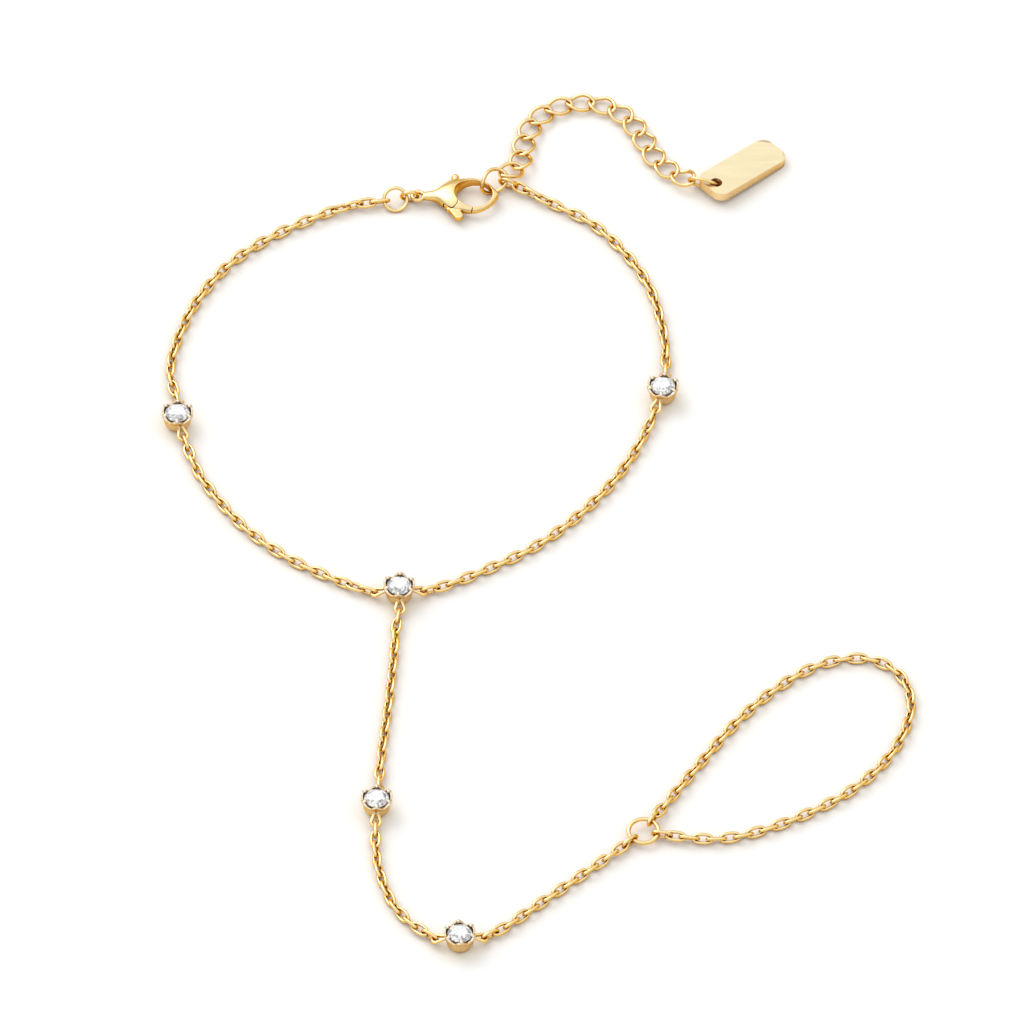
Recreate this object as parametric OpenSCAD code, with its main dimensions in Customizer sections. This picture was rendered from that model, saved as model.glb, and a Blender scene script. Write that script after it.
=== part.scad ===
// A hand chain bracelet lying flat: a wrist chain with three set stones, a lobster clasp and an
// extender, and a chain down the hand with two more stones that ends in a loop for one finger.
// Row axes: X to the right, Y to the back of the table, Z up from the surface it lies on.

/* [Cable chain] */
// Wire of the fine links
link_wire = 0.32; // [0.25:0.01:0.36]
// Outer length of a fine link
link_len = 2.14; // [2:0.02:2.6]
// Outer width of a fine link
link_width = 1.28; // [1.24:0.01:1.5]
// Play between two links that hook into each other
link_gap = 0.18; // [0.14:0.01:0.24]
// Play between a chain's last link and the piece that it hooks into
hold_gap = 0.14; // [0.12:0.01:0.16]

/* [Extender chain] */
// Wire of the curb links
curb_wire = 0.32; // [0.26:0.01:0.36]
// Outer length of a curb link
curb_len = 3.04; // [2.8:0.02:3.4]
// Outer width of a curb link
curb_width = 2.24; // [2.1:0.02:2.6]
// Play between two curb links
curb_gap = 0.12; // [0.1:0.01:0.16]
// Wire of the link that carries the tag
tag_link_wire = 0.32; // [0.26:0.01:0.36]
// Outer length of the link that carries the tag
tag_link_len = 3.1; // [3:0.02:3.2]
// Outer width of the link that carries the tag
tag_link_width = 2.1; // [2.0:0.02:2.3]

/* [Tag] */
// Length of the tag
tag_len = 9.1; // [7:0.1:12]
// Width of the tag
tag_width = 3.7; // [3:0.1:5]
// Thickness of the tag
tag_thick = 0.88; // [0.6:0.02:1]
// Corner radius of the tag
tag_corner = 1.1; // [0.5:0.1:1.4]
// Hole in the tag
tag_hole_d = 1.2; // [1:0.05:1.4]
// Hole centre from the end of the tag
tag_hole_in = 1.05; // [0.9:0.05:1.2]

/* [Stones] */
// Diameter of a stone
stone_d = 2.4; // [2.2:0.05:2.6]
// Table across flats as a share of the diameter
stone_table = 0.58; // [0.5:0.01:0.65]
// Height of the crown
crown_h = 0.36; // [0.25:0.01:0.45]
// Height of the girdle
girdle_h = 0.06; // [0.04:0.01:0.1]
// Depth of the pavilion
pavilion_h = 1.03; // [0.8:0.01:1.2]

/* [Settings] */
// Height of the girdle's lower edge above the surface
girdle_z = 1.72; // [1.6:0.02:2]
// Diameter of a claw
claw_d = 0.34; // [0.3:0.01:0.42]
// Reach of a claw over the crown of its stone
claw_reach = 0.16; // [0.1:0.02:0.4]
// Gap between a stone and the metal round it
stone_gap = 0.04; // [0.03:0.01:0.08]
// Outer diameter of the basket at its foot
basket_foot_d = 1.8; // [1.6:0.05:2.2]
// Wall of the basket
basket_wall = 0.24; // [0.2:0.01:0.3]
// Height of the closed wall of the basket
foot_h = 1.4; // [1:0.02:1.5]
// Width of a prong under its claw
prong_width = 0.4; // [0.36:0.02:0.6]
// Wire of the loops that carry the chains
loop_wire = 0.33; // [0.26:0.01:0.36]
// Outer width of a loop
loop_width = 1.26; // [1.2:0.01:1.4]
// Reach of a loop from the axis of its setting
loop_reach = 2.8; // [2.7:0.02:3]
// Height of a loop's far end above the surface
loop_z = 0.66; // [0.64:0.01:0.8]
// Slope of a loop, from its far end up to the basket
loop_slope = 18; // [14:1:20]

/* [Rings] */
// Wire of the jump rings
ring_wire = 0.34; // [0.28:0.01:0.38]
// Outer diameter of the jump ring at the chain's end
end_ring_d = 2.6; // [2.4:0.05:2.8]
// Outer diameter of the jump ring in the clasp's eye
eye_ring_d = 1.94; // [1.9:0.02:2.02]
// Outer diameter of the jump ring at the extender
extender_ring_d = 2.1; // [2:0.02:2.3]
// Wire of the finger ring
finger_ring_wire = 0.42; // [0.34:0.01:0.46]
// Outer diameter of the finger ring
finger_ring_d = 3.3; // [3:0.05:3.6]

/* [Clasp] */
// Half width of the clasp's head
head_r = 2.25; // [2.1:0.05:2.4]
// Half thickness of the clasp at its thickest
body_half_t = 0.8; // [0.7:0.02:0.82]
// Radius of the opening in the head
opening_r = 1.72; // [1.6:0.02:1.8]
// Height of the clasp's middle plane above the surface
clasp_z = 0.85; // [0.84:0.01:0.95]
// Wire of the eye at the clasp's tail
eye_wire = 0.44; // [0.36:0.02:0.5]
// Outer diameter of the eye at the clasp's tail
eye_d = 1.56; // [1.5:0.02:1.7]
// Rivet that the lever turns on
rivet_d = 0.4; // [0.3:0.02:0.44]
// Radial clearance of the lever on its rivet
rivet_clear = 0.04; // [0.02:0.01:0.08]
// Thickness of the lever inside the body
lever_t = 0.5; // [0.4:0.02:0.6]
// Clearance of the lever inside the body
lever_clear = 0.06; // [0.04:0.01:0.1]
// Radius of the lever's hub
hub_r = 0.6; // [0.5:0.02:0.62]
// Distance from the rivet to the seam at the gate's tip
gate_reach = 2.4; // [2.3:0.02:2.5]
// Length of the thumb piece from the rivet
thumb_reach = 2.26; // [2:0.02:2.3]
// Width of the thumb piece
thumb_width = 0.84; // [0.6:0.02:0.88]

/* [Hidden] */
// Sides of a curb link along its length and round its wire
curb_steps = 16;
curb_sides = 6;
// Sides of the clasp's cross-sections, and sections built between two of its table
form_sides = 24;
form_steps = 2;
// Roundness of the clasp's cross-sections: 2 is an ellipse, more is squarer
form_power = 2.5;
// A cut runs past the surface it cuts by this much
past = 0.5;
// Samples of a route between two of its points
route_steps = 12;
// Most that a link turns about the route from one to the next, beyond a quarter turn
roll_step = 15;
// Roll at which the links of a lying cable chain rest on the surface
lie_roll = 45;
// Air under a lying chain, so that no link dips into the surface where the route bends
rest_gap = 0.022;

link_arc_r = (link_width - link_wire) / 2;
link_hook = (link_len - link_wire) / 2;
link_pitch = link_len - 2 * link_wire - link_gap;
// Height of a link's axis when it rests on its two lower edges
lie_z = link_arc_r * sin(lie_roll) + link_wire / 2 + rest_gap;

curb_b = (curb_width - curb_wire) / 2;
curb_pitch = curb_len - 2 * curb_wire - curb_gap;
// Roll of a curb link's ends, one to each side
curb_twist = 45;
// Greatest height of a twisted curb link above its own axis, as a share of curb_b
curb_rise = 0.374;
curb_z = curb_b * curb_rise + curb_wire / 2 + rest_gap;

loop_arc_r = (loop_width - loop_wire) / 2;
loop_hook = loop_reach - loop_wire / 2;
prongs = 6;
// Where the star facets' outer corners lie between the table and the girdle, as a share of the middle
star_out = 1.04;
// The lower facets turn into the point at this share of the stone's radius
keel_in = 0.25;
crown_angle = atan2(crown_h, stone_d / 2 * (1 - stone_table));
// A claw lies along the crown, off it by its radius and the stone's gap
claw_off = claw_d / 2 + stone_gap;
claw_r = stone_d / 2 + claw_off * sin(crown_angle);
claw_z = girdle_z + girdle_h + claw_off * cos(crown_angle);
// Thickness of a claw between its rounded ends, as a share of theirs
claw_waist = 0.94;
// The basket's wall stands outside the girdle and ends under the claws
seat_r = stone_d / 2 + stone_gap;
basket_r = seat_r + basket_wall;
// Its outer profile: height as a share of the claws' height, and share of the way from foot_r to basket_r
foot_r = basket_foot_d / 2;
basket_profile = [[0, 0], [0.09, 0.3], [0.27, 0.62], [0.48, 0.76], [0.88, 1], [1, 1.04]];

// Middle of the whole in plan, which is put at the origin
centre = [-0.01, -0.974];

// Settings: x and y of the axis, direction of the first prong, direction of each loop
X = 0;
Y = 1;
TURN = 2;
LOOPS = 3;
settings = [
  [-34.9, 12.2, 88, [88, -76]],
  [12.1, 15.8, 82, [84, -108]],
  [-13.4, -10.8, 86, [180, 4, -88]],
  [-15.5, -38.9, 90, [86, -92]],
  [-7.5, -56.6, 96, [176, 8]]
];

// Jump rings: centre, tilt about the ring's own cross axis, turn of that axis about Z
TILT = 3;
SPIN = 4;
end_ring_at = [-13.84, 41.8, 0.8, 33, 3.4];
eye_ring_at = [-12.47, 42.12, 0.945, -72, 2.3];
extender_ring_at = [-2.862, 43.805, 0.992, 112.9, -18.3];
finger_ring_at = [10.1, -42.3, 0.78, 6, 0];
tag_link_at = [16.1, 43.74, 1.07, 112, -15.5];

// The clasp's head centre in plan
clasp_x = -5.97;
clasp_y = 42.2;

// Tag: centre of its hole in plan, its direction, and how far the hole's end is propped up
tag_at = [17.3, 43.42];
tag_turn = 42;
tag_tilt = 4.16;

// Routes of the chains: x, y and rise above the lying height. The ends come from what they hook into.
wrist_route_1 = [
  [-18.2, 41.1, 0.15], [-22, 39.4, 0.07], [-26.3, 36.7, 0], [-30.3, 32.9, 0.02],
  [-33.4, 27.7, 0.02], [-35.2, 22.2, 0], [-35.6, 18.3, 0.09]
];
wrist_route_2 = [
  [-33.6, 7.6, 0.12], [-32.3, 4.2, 0.01], [-28.7, -1.5, 0.01], [-24.6, -5.6, 0], [-21.2, -7.9, 0],
  [-18, -9.8, 0.13]
];
wrist_route_3 = [
  [-8.8, -9.7, 0.12], [-5.6, -7.9, 0], [-0.6, -4.7, 0], [3.4, -0.9, 0.01], [6.9, 3.6, 0.02],
  [9.4, 8.2, 0.02], [10.7, 11.5, 0.13]
];
wrist_route_4 = [
  [12.4, 20.3, 0.12], [12.2, 24, 0.02], [11.1, 29.4, 0.01], [9, 34, 0], [5.5, 38.6, 0],
  [1.4, 41.4, 0.09]
];
hand_route_1 = [
  [-13.7, -15.5, 0.12], [-13.9, -19.2, 0.03], [-14.4, -25.4, 0], [-15, -31.4, 0.03],
  [-15.2, -34.1, 0.13]
];
hand_route_2 = [
  [-15.6, -43.6, 0.11], [-15.2, -47.4, 0.01], [-13.9, -51.6, 0], [-12, -54.4, 0.1]
];
hand_route_3 = [
  [-3, -54.6, 0.12], [-0.3, -52, 0.02], [4.2, -47.8, 0], [7.2, -45.1, 0.14]
];
// The finger loop's end hangs this far round its ring, and the wrist chain's on the extender's ring
finger_swing = -6;
extender_swing = -4.4;
finger_route = [
  [12.8, -37.7, 0.1], [15.9, -32.6, 0], [19.1, -27.7, 0], [22.8, -23.4, 0], [27, -20.2, 0],
  [31.4, -19.3, 0], [34.7, -21.3, 0], [35.9, -25.6, 0], [34.4, -31, 0], [31.2, -35.6, 0.01],
  [26.9, -39.1, 0], [21.2, -42.1, 0.01], [16.6, -43.2, 0.1]
];
curb_route = [
  [-1.676, 46.358, 0.22], [-1.5, 48.6, 0], [-0.8, 51.7, 0], [0.7, 53.9, 0], [3.4, 55.1, 0],
  [6.4, 54.9, 0], [9.1, 52.7, 0], [10.6, 49.4, 0], [12.1, 46.5, 0], [13.7, 45.1, 0.15]
];
// The extender's first link: where its near end hangs from the centre of the clasp's opening, its
// direction in plan, its rolls at both ends, the heights of the ends, its length and its width
hook_at_r = 1.125;
hook_at_turn = 48.2;
hook_turn = 38.47;
hook_roll = 82.7;
hook_end_roll = 22;
hook_z = 0.861;
hook_end_z = 1.32;
hook_len = 3.15;
hook_width = 2.39;

// Sections of the clasp from tail to head as shares of head_r and body_half_t
AT = 0;
HALF_W = 1;
HALF_T = 2;
clasp_sections = [
  [-2.32, 0.18, 0.38], [-2.0, 0.22, 0.5], [-1.78, 0.26, 0.62], [-1.6, 0.42, 0.76], [-1.4, 0.64, 0.88],
  [-1.08, 0.87, 1], [-0.72, 0.93, 1], [-0.4, 0.98, 0.92], [-0.1, 1, 0.8], [0.28, 0.87, 0.66],
  [0.58, 0.64, 0.57], [0.76, 0.42, 0.54], [0.88, 0.21, 0.5], [0.95, 0.05, 0.42]
];
// Rivet, nub and thumb piece from the head's centre
rivet_at = [-2.6, -1.1];
opening_at = [-0.2, 0];
eye_at = -5.69;
nub_at = [-2.06, 2.42];
nub_reach = 1.2;
nub_r = 0.4;
thumb_turn = -62;
// The thumb piece's width at the rivet as a share of the hub's
thumb_root = 0.8;
// The opening widens toward both faces: from this share of body_half_t, by this much in all
flare_from = 0.3;
flare = 0.32;
// The lever's gate spans these directions from the rivet. Its cut allows for the swing, and for
// this much more at either side.
gate_from = -110;
gate_to = 0;
lever_swing = 20;
swing_room = 4;
// Where the lever's arm leaves the slot for the open side
arm_r = 0.78;
gate_gap = 0.08;

gold = [0.93, 0.74, 0.36];
clear = [0.93, 0.95, 0.97];

// Vectors
function unit(v) = v / norm(v);
function flat(v) = [v.x, v.y, 0];
function heading(a) = [cos(a), sin(a), 0];
// The vector v turned about Z by spin after being tilted about X
function turned(v, tilt, spin) =
  let (y = v.y * cos(tilt) - v.z * sin(tilt), z = v.y * sin(tilt) + v.z * cos(tilt))
  [v.x * cos(spin) - y * sin(spin), v.x * sin(spin) + y * cos(spin), z];

// What a chain hooks into: centre, tilt and turn of a ring or an arc of wire, its mean radius, its
// wire, and how far round from the chain's own direction the chain hangs on it
RADIUS = 5;
WIRE = 6;
SWING = 7;
function loop_hold(i, k) =
  let (s = settings[i], a = s[LOOPS][k])
  let (c = (loop_hook - loop_arc_r * cos(loop_slope)) * heading(a))
  [
    s[X] + c.x, s[Y] + c.y, loop_z + loop_arc_r * sin(loop_slope), loop_slope, a + 90, loop_arc_r,
    loop_wire, 0
  ];
function ring_hold(ring, d, wire, swing) = concat(ring, [(d - wire) / 2, wire, swing]);
function finger_hold(swing) = ring_hold(finger_ring_at, finger_ring_d, finger_ring_wire, swing);

// The hold's wire at an angle of the hold: its centre, its direction and its thickness
function wire_at(hold, a) = [
  [hold.x, hold.y, hold.z] + turned(hold[RADIUS] * heading(a), hold[TILT], hold[SPIN]),
  turned([-sin(a), cos(a), 0], hold[TILT], hold[SPIN]),
  hold[WIRE]
];
function wire_toward(hold, p) =
  wire_at(hold, atan2(p.y - hold.y, p.x - hold.x) - hold[SPIN] + hold[SWING]);

// The route's own end lies this far inside the wire that it hooks into
function hook_in(wire) = (link_wire + wire) / 2 + hold_gap - (link_hook - link_pitch / 2);

// A smooth curve through the points, one span from each point to the next
function curve(p, t) =
  let (i = min(floor(t), len(p) - 2), u = t - i, n = len(p) - 1)
  let (b = p[i], c = p[i + 1])
  let (a = i == 0 ? 2 * b - c : p[i - 1], d = i + 2 > n ? 2 * c - b : p[i + 2])
  (2 * b + (c - a) * u + (2 * a - 5 * b + 4 * c - d) * u * u + (3 * b - a - 3 * c + d) * u * u * u) / 2;
function samples(p) = [for (k = [0:route_steps * (len(p) - 1)]) curve(p, k / route_steps)];
function lengths(q) = [
  for (k = 0, s = 0; k < len(q); k = k + 1, s = s + (k < len(q) ? norm(q[k] - q[k - 1]) : 0)) s
];
// Joints of the links along a route, spaced evenly
function joints(p, n) =
  let (q = samples(p), s = lengths(q), total = s[len(s) - 1])
  let (at = [for (k = [0:len(s) - 1]) [s[k], k / route_steps]])
  [for (k = [0:n]) curve(p, lookup(total * k / n, at))];
function route_length(p) = let (s = lengths(samples(p))) s[len(s) - 1];

// Axes of a link from joint a to joint b: along, across and up, rolled about the first
function side_of(u) = unit(cross([0, 0, 1], u));
function roll_axes(u, roll) =
  let (side = side_of(u), up = cross(u, side))
  [u, side * cos(roll) + up * sin(roll), up * cos(roll) - side * sin(roll)];
function frame_of(axes, at) = [
  for (k = [0:2]) [axes[0][k], axes[1][k], axes[2][k], at[k]]
];
// The roll of a link whose plane is square to the wire direction t
function roll_square(u, t) = let (side = side_of(u), up = cross(u, side)) atan2(-(t * side), t * up);
// The same roll within a half turn about the lying one
function near_lie(a) = a - 180 * floor((a - lie_roll + 90) / 180);
function toward_lie(a, k) =
  a < lie_roll ? min(lie_roll, a + roll_step * k) : max(lie_roll, a - roll_step * k);

module at_link(a, b, roll) {
  multmatrix(frame_of(roll_axes(unit(b - a), roll), (a + b) / 2))
    children();
}

module wire_arc(r, wire, from, sweep) {
  rotate([0, 0, from])
    rotate_extrude(angle = sweep, $fn = 32)
      translate([r, 0])
        circle(d = wire, $fn = 24);
}

module wire_rod(a, b, wire) {
  d = b - a;
  translate(a)
    rotate([0, acos(d.z / norm(d)), atan2(d.y, d.x)])
      cylinder(d = wire, h = norm(d), $fn = 24);
}

module oval_link(length, width, wire) {
  r = (width - wire) / 2;
  h = (length - width) / 2;
  for (side = [-1, 1]) {
    translate([side * h, 0, 0])
      wire_arc(r, wire, -90 * side, 180);
    wire_rod([-h, side * r, 0], [h, side * r, 0], wire);
  }
}

// A cable chain from one hold to the other through the route's points
module cable_chain(hold_a, route, hold_b) {
  inner = [for (p = route) [p.x, p.y, lie_z + p.z]];
  from = wire_toward(hold_a, inner[0]);
  to = wire_toward(hold_b, inner[len(inner) - 1]);
  start = from[0] - hook_in(from[2]) * unit(flat(inner[0] - from[0]));
  finish = to[0] - hook_in(to[2]) * unit(flat(inner[len(inner) - 1] - to[0]));
  points = concat([start], inner, [finish]);
  n = ceil(route_length(points) / link_pitch);
  j = joints(points, n);
  roll_a = near_lie(roll_square(unit(j[1] - j[0]), from[1]) - 90);
  roll_b = near_lie(roll_square(unit(j[n] - j[n - 1]), to[1]) - 90 * n);
  for (i = [0:n - 1]) {
    base = i < n / 2 ? toward_lie(roll_a, i) : toward_lie(roll_b, n - 1 - i);
    at_link(j[i], j[i + 1], base + 90 * (i + 1))
      oval_link(link_len, link_width, link_wire);
  }
}

// A point of a twisted oval whose ends are rolled by roll_a and roll_b
function curb_point(a, b, roll_a, roll_b, t) =
  let (roll = (roll_a + roll_b) / 2 + (roll_b - roll_a) / 2 * cos(t))
  [a * cos(t), b * sin(t) * cos(roll), b * sin(t) * sin(roll)];
function curb_ring(a, b, roll_a, roll_b, wire, t) =
  let (step = 0.5, c = curb_point(a, b, roll_a, roll_b, t))
  let (ahead = curb_point(a, b, roll_a, roll_b, t + step) - curb_point(a, b, roll_a, roll_b, t - step))
  let (along = unit(ahead), out = unit(c - (c * along) * along), up = cross(along, out))
  [for (k = [0:curb_sides - 1])
     c + wire / 2 * (out * cos(360 * k / curb_sides) + up * sin(360 * k / curb_sides))];

module curb_link(length, width, wire, roll_a, roll_b) {
  a = (length - wire) / 2;
  b = (width - wire) / 2;
  rings = [for (i = [0:curb_steps - 1]) curb_ring(a, b, roll_a, roll_b, wire, 360 * i / curb_steps)];
  corner = [for (ring = rings) each ring];
  faces = [
    for (i = [0:curb_steps - 1])
      for (k = [0:curb_sides - 1])
        let (a0 = i * curb_sides, b0 = ((i + 1) % curb_steps) * curb_sides, m = (k + 1) % curb_sides)
        each [[a0 + k, b0 + k, b0 + m], [a0 + k, b0 + m, a0 + m]]
  ];
  polyhedron(corner, faces, convexity = 4);
}

module at_ring(ring) {
  translate([ring.x, ring.y, ring.z])
    rotate([0, 0, ring[SPIN]])
      rotate([ring[TILT], 0, 0])
        children();
}

module jump_ring(ring, d, wire) {
  at_ring(ring)
    wire_arc((d - wire) / 2, wire, 0, 360);
}

// Loop of a setting: an arc at the low far end and two straight wires that end in the basket's wall
module setting_loop(a) {
  root = (loop_hook - sqrt(seat_r * seat_r - loop_arc_r * loop_arc_r)) / cos(loop_slope);
  rotate([0, 0, a])
    translate([loop_hook, 0, loop_z])
      rotate([0, loop_slope, 0]) {
        translate([-loop_arc_r, 0, 0])
          wire_arc(loop_arc_r, loop_wire, -90, 180);
        for (side = [-1, 1])
          wire_rod([-root, side * loop_arc_r, 0], [-loop_arc_r, side * loop_arc_r, 0], loop_wire);
      }
}

// Outline of a prong, from where it leaves the closed wall up to its claw
module prong_outline() {
  reach = 2 * basket_r;
  half = basket_r * tan(180 / prongs);
  linear_extrude(reach)
    polygon([[-foot_h, -half], [-foot_h, half], [-claw_z, prong_width / 2], [-claw_z, -prong_width / 2]]);
}

module basket() {
  outer = [for (p = basket_profile) [foot_r + p[1] * (basket_r - foot_r), p[0] * claw_z]];
  inner = [for (k = [len(outer) - 1:-1:0]) outer[k] - [basket_wall, 0]];
  intersection() {
    rotate_extrude($fn = 64)
      polygon(concat(outer, inner));
    union() {
      cylinder(r = 2 * basket_r, h = foot_h, $fn = 64);
      for (k = [0:prongs - 1])
        rotate([0, 0, 360 * k / prongs])
          rotate([0, 90, 0])
            prong_outline();
    }
  }
}

module claw() {
  end = [claw_r - claw_reach * cos(crown_angle), 0, claw_z + claw_reach * sin(crown_angle)];
  wire_rod([claw_r, 0, claw_z], end, claw_d * claw_waist);
  for (at = [[claw_r, 0, claw_z], end])
    translate(at)
      sphere(d = claw_d, $fn = 24);
}

module setting(i) {
  s = settings[i];
  translate([s[X], s[Y], 0]) {
    rotate([0, 0, s[TURN]]) {
      basket();
      for (k = [0:prongs - 1])
        rotate([0, 0, 360 * k / prongs])
          claw();
    }
    for (a = s[LOOPS])
      setting_loop(a);
  }
}

// Round brilliant: table, star, kite and girdle facets above, kite and girdle facets below
module brilliant() {
  r = stone_d / 2;
  low = girdle_z;
  mid = low + girdle_h;
  top = mid + crown_h;
  culet = low - pavilion_h;
  half = 22.5;
  table_r = r * stone_table;
  star_r = (r + table_r) / 2 * star_out;
  star_z = top - crown_h * (star_r * cos(half) - table_r) / (r - table_r);
  keel_r = r * keel_in;
  keel_z = culet + pavilion_h * keel_r * cos(half) / r;
  corner = concat(
    [for (k = [0:7]) [table_r * cos(45 * k), table_r * sin(45 * k), top]],
    [for (k = [0:7]) [star_r * cos(45 * k + half), star_r * sin(45 * k + half), star_z]],
    [for (k = [0:15]) [r * cos(half * k), r * sin(half * k), mid]],
    [for (k = [0:15]) [r * cos(half * k), r * sin(half * k), low]],
    [for (k = [0:7]) [keel_r * cos(45 * k + half), keel_r * sin(45 * k + half), keel_z]],
    [[0, 0, culet]]
  );
  t = 0;
  s = 8;
  g = 16;
  h = 32;
  p = 48;
  c = 56;
  faces = concat(
    [[for (k = [7:-1:0]) t + k]],
    [for (k = [0:7]) let (m = (k + 1) % 8) each [
      [t + k, t + m, s + k],
      [t + m, s + m, s + k],
      [s + k, s + m, g + 2 * m],
      [s + k, g + 2 * k + 1, g + 2 * k],
      [s + k, g + 2 * m, g + 2 * k + 1],
      [p + k, h + 2 * k, h + 2 * k + 1],
      [p + k, h + 2 * k + 1, h + 2 * m],
      [p + k, h + 2 * m, p + m],
      [p + k, p + m, c]
    ]],
    [for (k = [0:15]) let (m = (k + 1) % 16) each [
      [g + k, g + m, h + m],
      [g + k, h + m, h + k]
    ]]
  );
  polyhedron(corner, faces, convexity = 2);
}

module stone(i) {
  s = settings[i];
  translate([s[X], s[Y], 0])
    rotate([0, 0, s[TURN]])
      brilliant();
}

// Corner of one cross-section of the clasp, at a share of a turn round it
function squared(v) = sign(v) * pow(abs(v), 2 / form_power);
function form_corner(s, k) =
  let (a = 360 * (k + 0.5) / form_sides)
  [s[AT] * head_r, s[HALF_W] * head_r * squared(cos(a)), s[HALF_T] * body_half_t * squared(sin(a))];

// The clasp's outer form, from the tail to the end of the head
module clasp_form() {
  last = len(clasp_sections) - 1;
  sections = [for (k = [0:form_steps * last]) curve(clasp_sections, k / form_steps)];
  n = len(sections);
  corner = [for (s = sections) each [for (k = [0:form_sides - 1]) form_corner(s, k)]];
  faces = concat(
    [[for (k = [0:form_sides - 1]) k]],
    [for (i = [0:n - 2]) for (k = [0:form_sides - 1])
      let (a = i * form_sides, b = a + form_sides, m = (k + 1) % form_sides)
      each [[a + k, b + k, b + m], [a + k, b + m, a + m]]],
    [[for (k = [form_sides - 1:-1:0]) (n - 1) * form_sides + k]]
  );
  polyhedron(corner, faces, convexity = 4);
}

// The fixed thumb stub on the body's far side
module clasp_nub() {
  wire_rod([nub_at.x, nub_at.y - nub_reach, 0], [nub_at.x, nub_at.y, 0], 2 * nub_r);
  translate([nub_at.x, nub_at.y, 0])
    sphere(r = nub_r, $fn = 32);
}

// The opening of the head, widened toward both faces
module clasp_opening() {
  translate([opening_at.x, opening_at.y, 0]) {
    cylinder(r = opening_r, h = 2 * (body_half_t + past), center = true, $fn = 64);
    for (side = [0, 180])
      rotate([side, 0, 0])
        translate([0, 0, flare_from * body_half_t])
          cylinder(r1 = opening_r, r2 = opening_r + flare, h = body_half_t, $fn = 64);
  }
}

// A ring sector round the rivet, between two radii and two directions
module rivet_sector(r_in, r_out, from, to, h) {
  span = to - from;
  reach = 2 * r_out;
  translate([rivet_at.x, rivet_at.y, 0])
    intersection() {
      difference() {
        cylinder(r = r_out, h = h, center = true, $fn = 64);
        if (r_in > 0)
          cylinder(r = r_in, h = h + past, center = true, $fn = 64);
      }
      linear_extrude(h + past, center = true)
        polygon([
          [0, 0], reach * [cos(from), sin(from)], reach * [cos(from + span / 2), sin(from + span / 2)],
          reach * [cos(to), sin(to)]
        ]);
    }
}

module at_clasp() {
  translate([clasp_x, clasp_y, clasp_z])
    children();
}

module clasp_eye() {
  translate([eye_at, 0, 0])
    wire_arc((eye_d - eye_wire) / 2, eye_wire, 0, 360);
}

module clasp_body() {
  tall = 2 * (body_half_t + past);
  slot_h = lever_t + 2 * lever_clear;
  color(gold)
    laid()
      at_clasp() {
        difference() {
          union() {
            clasp_form();
            clasp_eye();
            clasp_nub();
          }
          clasp_opening();
          rivet_sector(
            arm_r, gate_reach + gate_gap / 2,
            gate_from - swing_room, gate_to + lever_swing + swing_room, tall
          );
          translate([rivet_at.x, rivet_at.y, 0])
            cylinder(r = hub_r + lever_clear, h = slot_h, center = true, $fn = 48);
          rivet_sector(
            0, arm_r + past,
            gate_from - 2 * swing_room, gate_to + lever_swing + 2 * swing_room, slot_h
          );
        }
        translate([rivet_at.x, rivet_at.y, 0])
          cylinder(d = rivet_d, h = lever_t + 4 * lever_clear, center = true, $fn = 32);
      }
}

module thumb_piece() {
  end_r = thumb_reach - thumb_width / 2;
  translate([rivet_at.x, rivet_at.y, 0])
    rotate([0, 0, thumb_turn])
      linear_extrude(lever_t, center = true) {
        polygon([
          [0, -hub_r * thumb_root], [end_r, -thumb_width / 2],
          [end_r, thumb_width / 2], [0, hub_r * thumb_root]
        ]);
        translate([end_r, 0])
          circle(d = thumb_width, $fn = 32);
      }
}

module clasp_lever() {
  tall = 2 * (body_half_t + past);
  hole = rivet_d + 2 * rivet_clear;
  color(gold)
    laid()
      at_clasp()
        difference() {
          union() {
            intersection() {
              difference() {
                clasp_form();
                clasp_opening();
              }
              rivet_sector(arm_r + lever_clear, gate_reach - gate_gap / 2, gate_from, gate_to, tall);
            }
            translate([rivet_at.x, rivet_at.y, 0])
              cylinder(r = hub_r, h = lever_t, center = true, $fn = 48);
            rivet_sector(0, arm_r + 2 * lever_clear, gate_from, gate_to, lever_t);
            thumb_piece();
          }
          translate([rivet_at.x, rivet_at.y, 0])
            cylinder(d = hole, h = tall, center = true, $fn = 32);
        }
}

module tag() {
  far = tag_len - tag_hole_in;
  drop = far * sin(tag_tilt);
  color(gold)
    laid()
      translate([tag_at.x, tag_at.y, drop])
        rotate([0, tag_tilt, tag_turn])
          linear_extrude(tag_thick)
            difference() {
              union() {
                translate([-tag_hole_in + tag_corner, -tag_width / 2])
                  square([tag_len - 2 * tag_corner, tag_width]);
                translate([-tag_hole_in, -tag_width / 2 + tag_corner])
                  square([tag_len, tag_width - 2 * tag_corner]);
                for (x = [-tag_hole_in + tag_corner, far - tag_corner])
                  for (side = [-1, 1])
                    translate([x, side * (tag_width / 2 - tag_corner)])
                      circle(r = tag_corner, $fn = 48);
              }
              circle(d = tag_hole_d, $fn = 32);
            }
}

module tag_link() {
  color(gold)
    laid()
      at_ring(tag_link_at)
        oval_link(tag_link_len, tag_link_width, tag_link_wire);
}

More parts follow.
